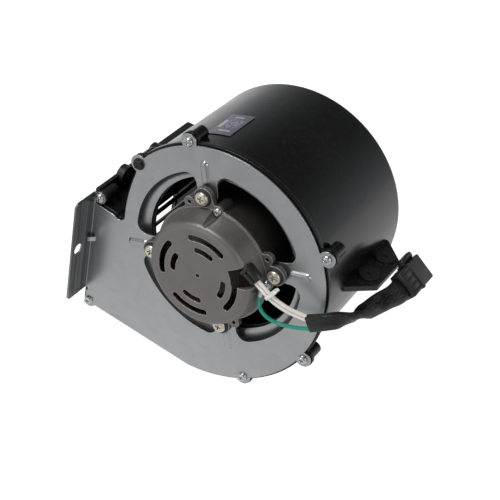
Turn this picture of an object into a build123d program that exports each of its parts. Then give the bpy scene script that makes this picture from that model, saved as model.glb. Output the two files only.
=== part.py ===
from build123d import *
import math
import os

os.makedirs("parts", exist_ok=True)

# Combustion fan. Millimetres. Origin on the fan axis at the outer face of the cover plate.
# -Y points to the motor, +Y to the closed end of the drum, +Z up along the mounting flange.

# Cover plate and scroll
PLATE_T = 1.2
FACE_X = -110.0
FLANGE_Y = -23.5
FLANGE_Z = (-88.0, 4.5)
BEND_IN = 1.0
BEND_OUT = BEND_IN + PLATE_T
BEND_X = FACE_X + BEND_OUT
SCREW_SPOTS = [(-37.3, 83.8), (82.1, 44.4), (82.5, -48.1), (39.1, -92.9), (-104.4, -99.2), (-104.4, 0.9)]
HEX_SPOT = (-74.4, 46.8)

# Inlet lip and motor arms
INLET_R = 69.5
THROAT_R = 62.0
LIP_R = INLET_R - THROAT_R
LIP_Y = 9.5
ARM_R = 52.5
ARM_TIP = 8.0
BEAD_R = 69.0
ARM_DEG = [17.4 + 90.0 * k for k in range(4)]

# Housing
SHELL_Y = 2.0
SHELL_END = 125.0
WALL = 2.5
TAPER = 0.84
RIM_Y = 5.0
BOSS_Y = 18.0
FRAME_X = -107.0
LABEL_DEG = (102.0, 114.7)

# Motor
CAP_FRONT = -25.5
STACK_Y = (-4.2, 24.2)
EAR_Y = (-6.4, -2.4)
RIM_R = 46.4
SLEEVE_Y = -7.8
SHAFT_R = 4.0
CAP_SCREW_R = 44.6
CAP_SCREW_DEG = [93.4, 183.4, 273.4]
EARTH_SPOT = (45.2, 5.6)

# Wheel
WHEEL_R = 72.0
BLADES = 44
BLADE_T = 0.8
BLADE_IN = 61.5
BLADE_Y = (13.0, 110.5)

# Wiring
WIRE_D = 2.8
SLEEVE_D = 9.0
MOUTH_WIDE = 14.0
MOUTH_THICK = 4.6
MOUTH_L = 9.0
CONNECTOR = (119.9, 82.0, -0.6)
CONNECTOR_SIZE = (20.8, 32.0, 10.0)


def across(y):
    """Plane square to the fan axis at depth y, x to the right and z up."""
    return Plane.XZ.offset(-y)


def polar(radius, degrees):
    """Point at a radius and an angle round the fan axis."""
    turn = math.radians(degrees)
    return (radius * math.cos(turn), radius * math.sin(turn))


def scroll(y, grow=0.0, left=FACE_X):
    """Scroll outline at depth y, grown by grow, with the outlet end at x = left."""
    low = -100.8 + (FACE_X - left) * 0.0892
    high = -5.0 + (FACE_X - left) * 0.146
    with BuildSketch(across(y)) as outline:
        with BuildLine():
            Line((left, high), (left, low))
            Line((left, low), (-8.0, -109.9))
            ThreePointArc((-8.0, -109.9), (60.5, -77.0), (88.62, -8.25))
            ThreePointArc((88.62, -8.25), (26.0, 85.1), (-74.6, 48.5))
            Line((-74.6, 48.5), (-76.2, 36.0))
            ThreePointArc((-76.2, 36.0), (-80.0, 16.5), (-81.0, -3.0))
            ThreePointArc((-81.0, -3.0), (-84.2, -9.2), (-89.5, -8.0))
            Line((-89.5, -8.0), (left, high))
        make_face()
        if grow:
            offset(amount=grow)
    return outline.sketch


def discs(y, spots, radius):
    """Discs of one radius at the spots, at depth y."""
    with BuildSketch(across(y)) as found:
        with Locations(*spots):
            Circle(radius)
    return found.sketch


def turned(points):
    """Closed profile of radius and depth points, for turning round the fan axis."""
    with BuildSketch(Plane.XY) as profile:
        with BuildLine():
            Polyline(*points, close=True)
        make_face()
    return profile.sketch


def tube(inner, outer, low, high):
    """Profile of a plain ring between two radii and two depths."""
    return turned([(inner, low), (outer, low), (outer, high), (inner, high)])


def arm_outline(y):
    """The four motor arms with their round roots as one sketch at depth y."""
    with BuildSketch() as arm:
        with BuildLine():
            ThreePointArc((ARM_R, ARM_TIP), (ARM_R - ARM_TIP, 0), (ARM_R, -ARM_TIP))
            Line((ARM_R, -ARM_TIP), (59.2, -8.6))
            ThreePointArc((59.2, -8.6), (65.57, -11.76), (66.9, -18.76))
            Polyline((66.9, -18.76), (74, -18.76), (74, 18.76), (66.9, 18.76))
            ThreePointArc((66.9, 18.76), (65.57, 11.76), (59.2, 8.6))
            Line((59.2, 8.6), (ARM_R, ARM_TIP))
        make_face()
    with BuildSketch(across(y)) as arms:
        for degrees in ARM_DEG:
            with Locations(Location((0, 0, 0), (0, 0, degrees))):
                add(arm.sketch)
    return arms.sketch


def screw(head_r, head_h, shank_r, length, driver):
    """A cross-head screw whose head sits on the local origin, its shank along +Y."""
    with BuildPart() as fastener:
        with BuildSketch(Plane.XY):
            with BuildLine():
                Line((0, -head_h), (head_r * 0.45, -head_h))
                RadiusArc((head_r * 0.45, -head_h), (head_r, -head_h * 0.35), -head_h * 1.1)
                Polyline((head_r, -head_h * 0.35), (head_r, 0), (shank_r, 0), (shank_r, length - 0.6))
                Polyline((shank_r, length - 0.6), (shank_r - 0.6, length), (0, length), (0, -head_h))
            make_face()
        revolve(axis=Axis.Y)
        with BuildSketch(across(-head_h + driver * 0.35)):
            Rectangle(driver, driver * 0.24)
            Rectangle(driver * 0.24, driver)
        extrude(amount=driver * 0.5, mode=Mode.SUBTRACT)
    return fastener.part


def bends(name, points, diameter):
    """Tangent arc radii for a route, printed with the shortest run."""
    runs = [(Vector(*b) - Vector(*a)) for a, b in zip(points, points[1:])]
    radii = []
    for one, two in zip(runs, runs[1:]):
        half = math.radians(one.get_angle(two)) / 2
        radii.append(round(min(0.45 * min(one.length, two.length) / math.tan(half), 60.0), 2))
    print(name, "diameter", diameter, "runs", [round(r.length, 1) for r in runs], "radii", radii)
    return radii


# ---------------------------------------------------------------- cover plate
with BuildPart() as cover_plate:
    extrude(scroll(PLATE_T), amount=PLATE_T, dir=(0, -1, 0))
    extrude(discs(PLATE_T, SCREW_SPOTS[:5], 6.2), amount=PLATE_T, dir=(0, -1, 0))
    extrude(discs(PLATE_T, SCREW_SPOTS[5:], 5.0), amount=PLATE_T, dir=(0, -1, 0))
    extrude(discs(PLATE_T, [HEX_SPOT], 7.0), amount=PLATE_T, dir=(0, -1, 0))
    extrude(discs(PLATE_T, [(0, 0)], INLET_R), amount=PLATE_T, dir=(0, -1, 0), mode=Mode.SUBTRACT)
    with Locations((BEND_X - 10, 0, -50)):
        Box(20, 10, 140, mode=Mode.SUBTRACT)
    # rolled inlet lip, which the arms cross
    with BuildSketch(Plane.XY):
        with BuildLine():
            RadiusArc((INLET_R, 0), (THROAT_R, LIP_R), -LIP_R)
            Polyline(
                (THROAT_R, LIP_R), (THROAT_R, LIP_Y),
                (THROAT_R + PLATE_T, LIP_Y), (THROAT_R + PLATE_T, LIP_R),
            )
            RadiusArc((THROAT_R + PLATE_T, LIP_R), (INLET_R, PLATE_T), LIP_R - PLATE_T)
            Line((INLET_R, PLATE_T), (INLET_R, 0))
        make_face()
    revolve(axis=Axis.Y)
    extrude(arm_outline(PLATE_T), amount=PLATE_T, dir=(0, -1, 0))
    arm_holes = [polar(ARM_R, d) for d in ARM_DEG]
    extrude(discs(PLATE_T, arm_holes, 2.1), amount=PLATE_T, dir=(0, -1, 0), mode=Mode.SUBTRACT)
    # stiffening beads along the arms, hollow behind
    with BuildSketch(across(0)):
        for degrees in ARM_DEG:
            with Locations(Location((0, 0, 0), (0, 0, degrees))):
                with Locations((BEAD_R, 0)):
                    SlotOverall(18.5, 6.8)
    extrude(amount=1.1, taper=35)
    with BuildSketch(across(-1.1)):
        for degrees in ARM_DEG:
            with Locations(Location((0, 0, 0), (0, 0, degrees))):
                with Locations((BEAD_R, 0)):
                    SlotOverall(16.8, 5.1)
    extrude(amount=0.7, taper=55)
    with BuildSketch(across(PLATE_T)):
        for degrees in ARM_DEG:
            with Locations(Location((0, 0, 0), (0, 0, degrees))):
                with Locations((BEAD_R, 0)):
                    SlotOverall(16, 4.2)
    extrude(amount=1.6, taper=15, mode=Mode.SUBTRACT)
    # forward mounting flange with its bend, hole and stiffening dimple
    with BuildSketch(Plane.XY.offset(FLANGE_Z[0])):
        with BuildLine():
            Line((BEND_X, 0), (BEND_X, PLATE_T))
            RadiusArc((BEND_X, PLATE_T), (FACE_X, -BEND_IN), -BEND_OUT)
            Polyline(
                (FACE_X, -BEND_IN), (FACE_X, FLANGE_Y),
                (FACE_X + PLATE_T, FLANGE_Y), (FACE_X + PLATE_T, -BEND_IN),
            )
            RadiusArc((FACE_X + PLATE_T, -BEND_IN), (BEND_X, 0), BEND_IN)
        make_face()
    extrude(amount=FLANGE_Z[1] - FLANGE_Z[0])
    with BuildSketch(Plane.XY.offset(-40)):
        Polygon((FACE_X + PLATE_T, -4.6), (-104.4, 0), (-104.4, 0.5), (FACE_X + PLATE_T, 0.5), align=None)
    extrude(amount=4)
    with BuildSketch(Plane.XY.offset(-39.4)):
        Polygon((FACE_X - 1, -4.7), (FACE_X - 1, 2), (-106.2, 2), (-106.2, 0.6), (-109.1, -2.9), align=None)
    extrude(amount=2.8, mode=Mode.SUBTRACT)
    with BuildSketch(Plane.YZ.offset(FACE_X - 1)):
        with Locations((-15.6, -41)):
            Circle(4.5)
    extrude(amount=4, mode=Mode.SUBTRACT)
    relief = [(BEND_X, FLANGE_Z[0] - 1.2)]
    extrude(discs(PLATE_T, relief, 1.5), amount=PLATE_T, dir=(0, -1, 0), mode=Mode.SUBTRACT)
    extrude(discs(PLATE_T, SCREW_SPOTS + [HEX_SPOT], 2.2), amount=PLATE_T, dir=(0, -1, 0), mode=Mode.SUBTRACT)
    with BuildSketch(Plane.YZ.offset(FACE_X - 1)):
        for corner, inward in ((FLANGE_Z[0], 2.5), (FLANGE_Z[1], -2.5)):
            Polygon((FLANGE_Y, corner), (FLANGE_Y + 2.5, corner), (FLANGE_Y, corner + inward), align=None)
    extrude(amount=4, mode=Mode.SUBTRACT)
cover_plate.part.label = "cover_plate"
export_step(cover_plate.part, "parts/cover_plate.step")

with BuildPart() as cover_screws:
    with Locations(*[(x, 0, z) for x, z in SCREW_SPOTS]):
        add(screw(3.7, 2.5, 1.9, 12.0, 3.6))
cover_screws.part.label = "cover_screws"
export_step(cover_screws.part, "parts/cover_screws.step")

with BuildPart() as hex_bolt:
    with BuildSketch(across(0)):
        with Locations(HEX_SPOT):
            RegularPolygon(3.5, 6, major_radius=False)
    extrude(amount=2.5)
    chamfer(edges().group_by(Axis.Y)[0], 0.3)
    extrude(discs(0, [HEX_SPOT], 4.6), amount=0.6, dir=(0, -1, 0))
    extrude(discs(12, [HEX_SPOT], 1.9), amount=12, dir=(0, -1, 0))
hex_bolt.part.label = "hex_bolt"
export_step(hex_bolt.part, "parts/hex_bolt.step")

with BuildPart() as plate_gasket:
    extrude(scroll(SHELL_Y, -0.4), amount=SHELL_Y - PLATE_T, dir=(0, -1, 0))
    extrude(scroll(SHELL_Y, -3.2), amount=SHELL_Y - PLATE_T, dir=(0, -1, 0), mode=Mode.SUBTRACT)
    screw_holes = discs(SHELL_Y, SCREW_SPOTS + [HEX_SPOT], 2.6)
    extrude(screw_holes, amount=SHELL_Y - PLATE_T, dir=(0, -1, 0), mode=Mode.SUBTRACT)
    with Locations((BEND_X - 10, 0, -50)):
        Box(20, 10, 140, mode=Mode.SUBTRACT)
plate_gasket.part.label = "plate_gasket"
export_step(plate_gasket.part, "parts/plate_gasket.step")

# ------------------------------------------------------------------- housing
with BuildPart() as housing_shell:
    extrude(scroll(SHELL_Y, -0.8, FACE_X - 8), amount=SHELL_END - SHELL_Y, dir=(0, 1, 0), taper=TAPER)
    fillet(edges().group_by(Axis.Y)[-1], 4)
    extrude(scroll(RIM_Y, 1.6), amount=RIM_Y - SHELL_Y, dir=(0, -1, 0))
    extrude(discs(RIM_Y, SCREW_SPOTS[:5] + [HEX_SPOT], 6.8), amount=RIM_Y - SHELL_Y, dir=(0, -1, 0))
    extrude(
        scroll(SHELL_Y, -0.8 - WALL, FACE_X - 8), amount=SHELL_END - SHELL_Y - WALL,
        dir=(0, 1, 0), taper=TAPER, mode=Mode.SUBTRACT,
    )
    extrude(discs(BOSS_Y, SCREW_SPOTS[:5] + [HEX_SPOT], 5.2), amount=BOSS_Y - SHELL_Y, dir=(0, -1, 0))
    extrude(
        discs(BOSS_Y - 2, SCREW_SPOTS[:5] + [HEX_SPOT], 1.95),
        amount=BOSS_Y, dir=(0, -1, 0), mode=Mode.SUBTRACT,
    )
    # shallow stiffening step in the closed end
    revolve(tube(40, 46, SHELL_END - 0.8, SHELL_END + 1), axis=Axis.Y, mode=Mode.SUBTRACT)
    # flat pad for the foot
    with Locations((87.1, 67, 2.25)):
        Box(3.0, 72, 4.5)
    with Locations((FRAME_X - 10, 65, -50)):
        Box(20, 140, 160, mode=Mode.SUBTRACT)
housing_shell.part.label = "housing_shell"
export_step(housing_shell.part, "parts/housing_shell.step")

with BuildPart() as outlet_frame:
    with BuildSketch(Plane.YZ.offset(FACE_X)):
        with Locations((64.5, -49.85)):
            Rectangle(125, 112.3)
        with Locations((35, 3), (76, 3)):
            Circle(8)
    extrude(amount=FRAME_X - FACE_X)
    with BuildSketch(Plane.YZ.offset(FACE_X)):
        with Locations((35, 3), (76, 3)):
            Circle(8)
        with Locations((60, -15)):
            Rectangle(120, 20, mode=Mode.SUBTRACT)
    extrude(amount=6)
    with BuildSketch(Plane.YZ.offset(FACE_X - 1)):
        with Locations((63, -53.4)):
            Rectangle(116, 87.4)
        with Locations((35, 4.5), (76, 4.5)):
            Circle(2)
    extrude(amount=8, mode=Mode.SUBTRACT)
    with Locations((FACE_X + 3.5, 105.5, 1)):
        Box(7, 43, 12)
    with Locations((FACE_X + 3.5, 88, 1), (FACE_X + 3.5, 121, 1)):
        Box(8, 3, 7, mode=Mode.SUBTRACT)
    extrude(discs(RIM_Y, SCREW_SPOTS[5:], 4.9), amount=RIM_Y - SHELL_Y, dir=(0, -1, 0))
    extrude(discs(BOSS_Y, SCREW_SPOTS[5:], 4.2), amount=BOSS_Y - SHELL_Y, dir=(0, -1, 0))
    extrude(discs(BOSS_Y - 2, SCREW_SPOTS[5:], 1.95), amount=BOSS_Y, dir=(0, -1, 0), mode=Mode.SUBTRACT)
outlet_frame.part.label = "outlet_frame"
export_step(outlet_frame.part, "parts/outlet_frame.step")

with BuildPart() as side_foot:
    with BuildSketch(Plane.XY):
        Polygon((88.6, 31), (107, 49.3), (107, 85.4), (88.6, 103), align=None)
    extrude(amount=4.5)
    fillet(edges().filter_by(Axis.Z).group_by(Axis.X)[-1], 2)
    with BuildSketch(Plane.XY.offset(4.5)):
        with Locations((96.2, 54), (96.2, 80.6)):
            Circle(7.5)
    extrude(amount=3)
    with BuildSketch(Plane.XY.offset(-1)):
        with Locations((96.2, 54), (96.2, 80.6)):
            Circle(2.25)
    extrude(amount=10, mode=Mode.SUBTRACT)
side_foot.part.label = "side_foot"
export_step(side_foot.part, "parts/side_foot.step")

with BuildPart() as rating_label:
    with BuildSketch(Plane.XY.rotated((0, -LABEL_DEG[1], 0))):
        with BuildLine():
            Polyline((88.0, 23), (88.3, 23), (87.8, 58), (87.5, 58), close=True)
        make_face()
    revolve(axis=Axis.Y, revolution_arc=LABEL_DEG[1] - LABEL_DEG[0])
rating_label.part.label = "rating_label"
export_step(rating_label.part, "parts/rating_label.step")

# --------------------------------------------------------------------- motor
screw_spots = [polar(CAP_SCREW_R, d) for d in CAP_SCREW_DEG] + [EARTH_SPOT]

# hollow of the cap, leaving walls round the screw pockets
with BuildPart() as cap_hollow:
    revolve(turned([(0, -4), (42.6, -4), (42.6, -4.8), (39.5, -19), (36, -23.1), (0, -23.1)]), axis=Axis.Y)
    revolve(tube(8, 9.5, -23.1, -14), axis=Axis.Y, mode=Mode.SUBTRACT)
    revolve(tube(15.5, 34.5, -24.2, -23.0), axis=Axis.Y)
    extrude(discs(EAR_Y[0], screw_spots, 5.4), amount=20, dir=(0, -1, 0), mode=Mode.SUBTRACT)

with BuildPart() as front_cap:
    with BuildSketch(Plane.XY):
        with BuildLine():
            Line((0, CAP_FRONT), (36.5, CAP_FRONT))
            TangentArc((36.5, CAP_FRONT), (41.6, -21.2), tangent=(1, 0))
            Polyline((41.6, -21.2), (45, EAR_Y[0]), (RIM_R, EAR_Y[0]), (RIM_R, -4.8))
            Polyline((RIM_R, -4.8), (0, -4.8), (0, CAP_FRONT))
        make_face()
    revolve(axis=Axis.Y)
    # ears and pads round the rim
    with BuildSketch(across(EAR_Y[1])):
        for degrees in ARM_DEG:
            with Locations(Location((0, 0, 0), (0, 0, degrees))):
                Polygon((40, -10.5), (ARM_R - 1, -7.6), (ARM_R - 1, 7.6), (40, 10.5), align=None)
            with Locations(polar(ARM_R, degrees)):
                Circle(7.6)
            with Locations(polar(49, degrees + 14.5)):
                Circle(4.4)
            with Locations(polar(45.4, degrees + 14.5)):
                Circle(5)
        Circle(RIM_R, mode=Mode.SUBTRACT)
    extrude(amount=EAR_Y[1] - EAR_Y[0])
    extrude(discs(EAR_Y[1], screw_spots, 4.7), amount=2.4, dir=(0, -1, 0), mode=Mode.SUBTRACT)
    with BuildSketch(across(-4.8)):
        for degrees in ARM_DEG:
            with Locations(Location((0, 0, 0), (0, 0, degrees))):
                Polygon((40, -10.5), (ARM_R - 1, -7.6), (ARM_R - 1, 7.6), (40, 10.5), align=None)
            with Locations(polar(45.4, degrees + 14.5)):
                Circle(5)
        with Locations(*screw_spots):
            Circle(4.6)
    extrude(amount=-4.8 - EAR_Y[0])
    add(cap_hollow.part, mode=Mode.SUBTRACT)
    extrude(discs(EAR_Y[1], arm_holes, 5.0), amount=5, dir=(0, -1, 0), mode=Mode.SUBTRACT)
    pad_holes = [polar(49, d + 14.5) for d in ARM_DEG]
    extrude(discs(EAR_Y[1], pad_holes, 1.6), amount=5, dir=(0, -1, 0), mode=Mode.SUBTRACT)
    # pockets and holes for the cap screws
    extrude(discs(EAR_Y[0], screw_spots, 3.9), amount=20, dir=(0, -1, 0), mode=Mode.SUBTRACT)
    extrude(discs(-4, screw_spots, 1.95), amount=5, dir=(0, -1, 0), mode=Mode.SUBTRACT)
    # two rings of vent slots
    with BuildSketch(across(-20)):
        for k in range(4):
            SlotArc(arc=CenterArc((0, 0), 30.4, 95 + 90 * k - 24.5, 49), height=4.8)
            SlotArc(arc=CenterArc((0, 0), 21, 95 + 90 * k - 15.5, 31), height=4.6)
    extrude(amount=8, mode=Mode.SUBTRACT)
    # notch where the wires leave
    with BuildSketch(across(-15.5)):
        with BuildLine():
            Line(polar(27.5, 12), polar(50, 12))
            ThreePointArc(polar(50, 12), polar(50, 24.5), polar(50, 37))
            Line(polar(50, 37), polar(27.5, 37))
            ThreePointArc(polar(27.5, 37), polar(27.5, 24.5), polar(27.5, 12))
        make_face()
    extrude(amount=12, mode=Mode.SUBTRACT)
    extrude(discs(-20, [(0, 0)], 1.5), amount=8, dir=(0, -1, 0), mode=Mode.SUBTRACT)
front_cap.part.label = "front_cap"
export_step(front_cap.part, "parts/front_cap.step")

with BuildPart() as rear_bracket:
    revolve(
        turned([
            (42, -4.6), (45.6, -4.6), (45.6, -1.5), (44.0, -1.5), (44.0, 33),
            (42, 35), (5, 35), (5, 32), (42, 32),
        ]),
        axis=Axis.Y,
    )
    revolve(tube(8, 9.5, 26, 32), axis=Axis.Y)
    with BuildSketch(across(8)):
        with Locations(*screw_spots[:3]):
            Circle(4.4)
        Circle(42, mode=Mode.SUBTRACT)
    extrude(amount=12.6)
    with BuildSketch(across(-0.3)):
        with Locations(EARTH_SPOT):
            Circle(4.4)
        Circle(42, mode=Mode.SUBTRACT)
    extrude(amount=4.3)
    extrude(discs(6, screw_spots, 1.95), amount=11, dir=(0, -1, 0), mode=Mode.SUBTRACT)
    with BuildSketch(across(40)):
        for k in range(6):
            SlotArc(arc=CenterArc((0, 0), 28, 60 * k - 18, 36), height=4)
    extrude(amount=10, mode=Mode.SUBTRACT)
rear_bracket.part.label = "rear_bracket"
export_step(rear_bracket.part, "parts/rear_bracket.step")

with BuildPart() as cap_screws:
    with Locations(*[(x, EAR_Y[0], z) for x, z in screw_spots[:3]]):
        add(screw(3.3, 2.0, 1.9, 11.0, 3.2))
cap_screws.part.label = "cap_screws"
export_step(cap_screws.part, "parts/cap_screws.step")

with BuildPart() as earth_screw:
    with Locations((EARTH_SPOT[0], EAR_Y[0] - 0.8, EARTH_SPOT[1])):
        add(screw(3.3, 2.0, 1.9, 6.4, 3.2))
earth_screw.part.label = "earth_screw"
export_step(earth_screw.part, "parts/earth_screw.step")

with BuildPart() as one_grommet:
    with BuildSketch(Plane.XY):
        with BuildLine():
            Polyline(
                (2.7, SLEEVE_Y), (6.0, SLEEVE_Y), (6.6, -7.2), (6.6, EAR_Y[0]), (4.98, EAR_Y[0]),
                (4.98, EAR_Y[1]), (6.6, EAR_Y[1]), (6.6, 0), (2.7, 0), close=True,
            )
        make_face()
    revolve(axis=Axis.Y)
with BuildPart() as motor_grommets:
    with Locations(*[(polar(ARM_R, d)[0], 0, polar(ARM_R, d)[1]) for d in ARM_DEG]):
        add(one_grommet.part)
motor_grommets.part.label = "motor_grommets"
export_step(motor_grommets.part, "parts/motor_grommets.step")

with BuildPart() as mount_sleeves:
    with BuildSketch(across(0)):
        with Locations(*[polar(ARM_R, d) for d in ARM_DEG]):
            Circle(2.65)
            Circle(2.05, mode=Mode.SUBTRACT)
    extrude(amount=-SLEEVE_Y)
mount_sleeves.part.label = "mount_sleeves"
export_step(mount_sleeves.part, "parts/mount_sleeves.step")

with BuildPart() as mount_screws:
    with Locations(*[(polar(ARM_R, d)[0], SLEEVE_Y, polar(ARM_R, d)[1]) for d in ARM_DEG]):
        add(screw(5.2, 2.2, 2.0, 13.0, 5.0))
mount_screws.part.label = "mount_screws"
export_step(mount_screws.part, "parts/mount_screws.step")

with BuildPart() as mount_nuts:
    with BuildSketch(across(PLATE_T + 3.2)):
        for degrees in ARM_DEG:
            with Locations(polar(ARM_R, degrees)):
                RegularPolygon(3.5, 6, major_radius=False)
                Circle(2.03, mode=Mode.SUBTRACT)
    extrude(amount=3.2)
mount_nuts.part.label = "mount_nuts"
export_step(mount_nuts.part, "parts/mount_nuts.step")

with BuildPart() as stator_core:
    revolve(tube(26, 41.95, *STACK_Y), axis=Axis.Y)
    with BuildSketch(across(STACK_Y[1] + 1)):
        with PolarLocations(30.5, 12):
            Rectangle(12, 5)
    extrude(amount=STACK_Y[1] - STACK_Y[0] + 2, mode=Mode.SUBTRACT)
stator_core.part.label = "stator_core"
export_step(stator_core.part, "parts/stator_core.step")

with BuildPart() as windings:
    revolve(tube(27, 37.5, -15, STACK_Y[0]), axis=Axis.Y)
    fillet(edges().group_by(Axis.Y)[0], 2.5)
    revolve(tube(27, 36, STACK_Y[1], 31), axis=Axis.Y)
    fillet(edges().group_by(Axis.Y)[-1], 2.5)
    with BuildSketch(across(STACK_Y[1])):
        with PolarLocations(31, 12):
            Rectangle(7.6, 4.6)
    extrude(amount=STACK_Y[1] - STACK_Y[0])
windings.part.label = "windings"
export_step(windings.part, "parts/windings.step")

with BuildPart() as rotor_core:
    revolve(tube(5.5, 25.4, -5, 25), axis=Axis.Y)
rotor_core.part.label = "rotor_core"
export_step(rotor_core.part, "parts/rotor_core.step")

with BuildPart() as shaft:
    revolve(
        turned([
            (0, -21), (SHAFT_R - 0.4, -21), (SHAFT_R, -20.6), (SHAFT_R, -13.2), (5.5, -13.2), (5.5, 25.2),
            (SHAFT_R, 25.2), (SHAFT_R, 107.5), (SHAFT_R - 0.5, 108), (0, 108),
        ]),
        axis=Axis.Y,
    )
shaft.part.label = "shaft"
export_step(shaft.part, "parts/shaft.step")

with BuildPart() as thrust_washers:
    revolve(tube(SHAFT_R + 0.02, 7, -13.9, -13.2), axis=Axis.Y)
    revolve(tube(SHAFT_R + 0.02, 7, 25.2, 25.9), axis=Axis.Y)
thrust_washers.part.label = "thrust_washers"
export_step(thrust_washers.part, "parts/thrust_washers.step")

with BuildPart() as front_bush:
    revolve(tube(SHAFT_R + 0.03, 8, -21, -14), axis=Axis.Y)
front_bush.part.label = "front_bush"
export_step(front_bush.part, "parts/front_bush.step")

with BuildPart() as rear_bush:
    revolve(tube(SHAFT_R + 0.03, 8, 26, 32), axis=Axis.Y)
rear_bush.part.label = "rear_bush"
export_step(rear_bush.part, "parts/rear_bush.step")

with BuildPart() as oil_felt:
    revolve(tube(4.6, 8, -23.1, -21), axis=Axis.Y)
oil_felt.part.label = "oil_felt"
export_step(oil_felt.part, "parts/oil_felt.step")

# --------------------------------------------------------------------- wheel
with BuildPart() as wheel_hub:
    revolve(tube(SHAFT_R + 0.01, 10, 76, 112), axis=Axis.Y)
    with BuildSketch(Plane.YZ):
        with Locations((85, 0)):
            Circle(2.03)
    extrude(amount=12, mode=Mode.SUBTRACT)
wheel_hub.part.label = "wheel_hub"
export_step(wheel_hub.part, "parts/wheel_hub.step")

with BuildPart() as hub_screw:
    with BuildSketch(Plane.YZ.offset(SHAFT_R + 0.02)):
        with Locations((85, 0)):
            Circle(2.0)
    extrude(amount=9)
    with BuildSketch(Plane.YZ.offset(11)):
        with Locations((85, 0)):
            RegularPolygon(1.0, 6)
    extrude(amount=3, mode=Mode.SUBTRACT)
hub_screw.part.label = "hub_screw"
export_step(hub_screw.part, "parts/hub_screw.step")

with BuildPart() as wheel_back_disc:
    revolve(tube(10, WHEEL_R, BLADE_Y[1], BLADE_Y[1] + 1.5), axis=Axis.Y)
wheel_back_disc.part.label = "wheel_back_disc"
export_step(wheel_back_disc.part, "parts/wheel_back_disc.step")

with BuildPart() as wheel_blades:
    thick = math.degrees(BLADE_T / 68)
    with BuildSketch(across(BLADE_Y[1])):
        for k in range(BLADES):
            a = 360.0 / BLADES * k
            with BuildLine():
                b = a + thick
                ThreePointArc(polar(BLADE_IN, a), polar(67.2, a + 2.8), polar(WHEEL_R - 0.2, a + 9))
                Line(polar(WHEEL_R - 0.2, a + 9), polar(WHEEL_R - 0.2, b + 9))
                ThreePointArc(polar(WHEEL_R - 0.2, b + 9), polar(67.2, b + 2.8), polar(BLADE_IN, b))
                Line(polar(BLADE_IN, b), polar(BLADE_IN, a))
            make_face()
    extrude(amount=BLADE_Y[1] - BLADE_Y[0])
wheel_blades.part.label = "wheel_blades"
export_step(wheel_blades.part, "parts/wheel_blades.step")

with BuildPart() as wheel_front_ring:
    revolve(tube(BLADE_IN - 0.1, WHEEL_R + 0.7, BLADE_Y[0] - 1.5, BLADE_Y[0]), axis=Axis.Y)
wheel_front_ring.part.label = "wheel_front_ring"
export_step(wheel_front_ring.part, "parts/wheel_front_ring.step")

# -------------------------------------------------------------------- wiring
BOOT_DIR = Vector(0.866, 0, -0.5)
BOOT_SIDE = Vector(0.5, 0, 0.866)
BOOT_END = Vector(43.4, -20, 15.5)

with BuildPart() as wire_boot:
    with BuildSketch(Plane(origin=BOOT_END, x_dir=(0, -1, 0), z_dir=-BOOT_DIR)):
        Rectangle(9.0, 10.4)
    extrude(amount=14)
    with BuildSketch(across(-15)):
        with BuildLine():
            Polyline((0, 0), polar(60, 12.5), polar(60, 36.5), close=True)
        make_face()
    extrude(amount=12, mode=Mode.INTERSECT)
    with BuildSketch(across(-14)):
        Circle(28)
    extrude(amount=14, mode=Mode.SUBTRACT)
wire_boot.part.label = "wire_boot"
export_step(wire_boot.part, "parts/wire_boot.step")

# the sleeve's mouth: a flat opening across its first run
SLEEVE_ROUTE = [
    (84.2, -12, -4.1), (93.5, -10.5, 1.4), (102.5, -5, 4.9), (109.4, 5.5, 4.9), (112.6, 20, 2.6),
    (114.4, 33.5, 1.4), (117.4, 45, 1.0), (119.9, 56, -0.6), (119.9, 66, -0.6),
]
MOUTH_AT = Vector(*SLEEVE_ROUTE[0])
MOUTH_DIR = (Vector(*SLEEVE_ROUTE[1]) - MOUTH_AT).normalized()
MOUTH_PLANE = Plane(origin=MOUTH_AT, x_dir=MOUTH_DIR.cross(Vector(0, 1, 0)), z_dir=MOUTH_DIR)


def mouth_spot(across_by, back):
    """Point on the sleeve's mouth, or back from it along the first run."""
    spot = MOUTH_AT + MOUTH_PLANE.x_dir * across_by - MOUTH_DIR * back
    return (spot.X, spot.Y, spot.Z)


def boot_spot(along, side):
    """Point in front of the boot's end face."""
    spot = BOOT_END + BOOT_DIR * along + BOOT_SIDE * side
    return (spot.X, spot.Y, spot.Z)


UP = 1 if MOUTH_PLANE.x_dir.Z > 0 else -1
WHITE_A = [
    boot_spot(0, 1.7), boot_spot(6.5, 1.7), (57.2, -19.2, 9.0), (65.2, -17.8, 5.6),
    (73.1, -15.9, 3.3), mouth_spot(5.0 * UP, -1.5),
]
WHITE_B = [
    boot_spot(0, -1.7), boot_spot(6.5, -1.7), (55.4, -19.4, 6.1), (64.2, -18.0, 2.4),
    (73.5, -15.5, -0.1), mouth_spot(1.6 * UP, -1.5),
]
EARTH = [
    (45.8, -15.1, 1.2), (45.8, -15.1, -4.2), (48.0, -15.0, -10.4), (53.4, -14.6, -14.4), (61.0, -14.0, -15.7),
    (69.5, -13.2, -14.6), (78.2, -12.4, -11.9), mouth_spot(-4.6 * UP, -1.5),
]


def wire(name, points, diameter):
    """Round wire swept along straight runs joined by tangent arcs."""
    with BuildPart() as body:
        with BuildLine() as path:
            FilletPolyline(*points, radius=bends(name, points, diameter))
        first = Vector(*points[1]) - Vector(*points[0])
        with BuildSketch(Plane(origin=points[0], z_dir=first)):
            Circle(diameter / 2)
        sweep(path=path.line)
    length = sum(edge.length for edge in path.line.edges())
    swept = math.pi * diameter ** 2 / 4 * length
    volume = round(body.part.volume, 1)
    print(name, "length", round(length, 1), "volume", volume, "section x length", round(swept, 1))
    return body.part


with BuildPart() as white_wire_a:
    add(wire("white_wire_a", WHITE_A, WIRE_D))
white_wire_a.part.label = "white_wire_a"
export_step(white_wire_a.part, "parts/white_wire_a.step")

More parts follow.
